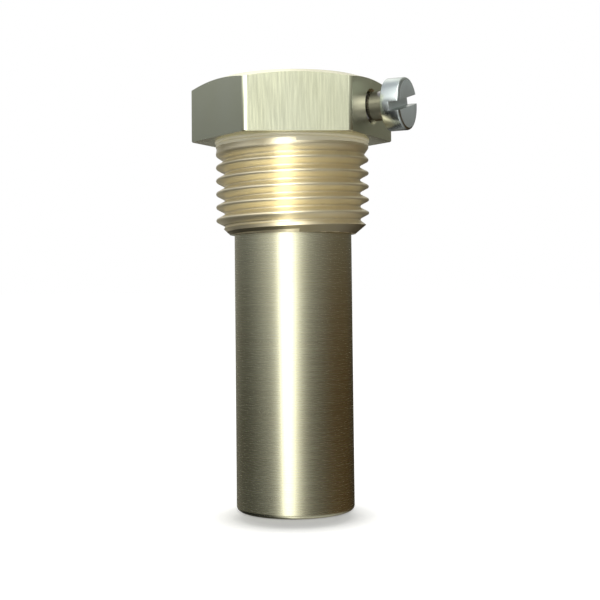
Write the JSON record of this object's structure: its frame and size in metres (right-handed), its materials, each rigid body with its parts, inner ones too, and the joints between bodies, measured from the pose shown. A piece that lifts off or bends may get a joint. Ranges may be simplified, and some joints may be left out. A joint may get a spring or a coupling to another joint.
{
  "type": "thermowell",
  "caption": "Brass thermowell with hexagon head, pipe thread, closed immersion tube, blind sensor bore and a slotted clamp screw through one flat.",
  "frame": {"origin": "on the axis, in the plane of the hexagon's underside, which seats on the pipe fitting", "axes": "+Z along the axis, out of the sensor bore's mouth; +X along the clamp screw, out of its flat of the hexagon"},
  "size_m": [0.0291, 0.0276, 0.0583],
  "materials": {
    "turned_brass": "bright turned brass with fine lathe marks, lightly drawn grain on the flats",
    "plated_steel": "zinc plated, slightly blue"
  },
  "bodies": {
    "well": {"well_body": "turned_brass"},
    "screw": {"clamp_screw": "plated_steel"}
  },
  "joints": [
    {"name": "screw_travel", "type": "slide", "parent": "well", "child": "screw", "axis": [1, 0, 0], "range_m": [-0.00245, 0.0045]}
  ]
}
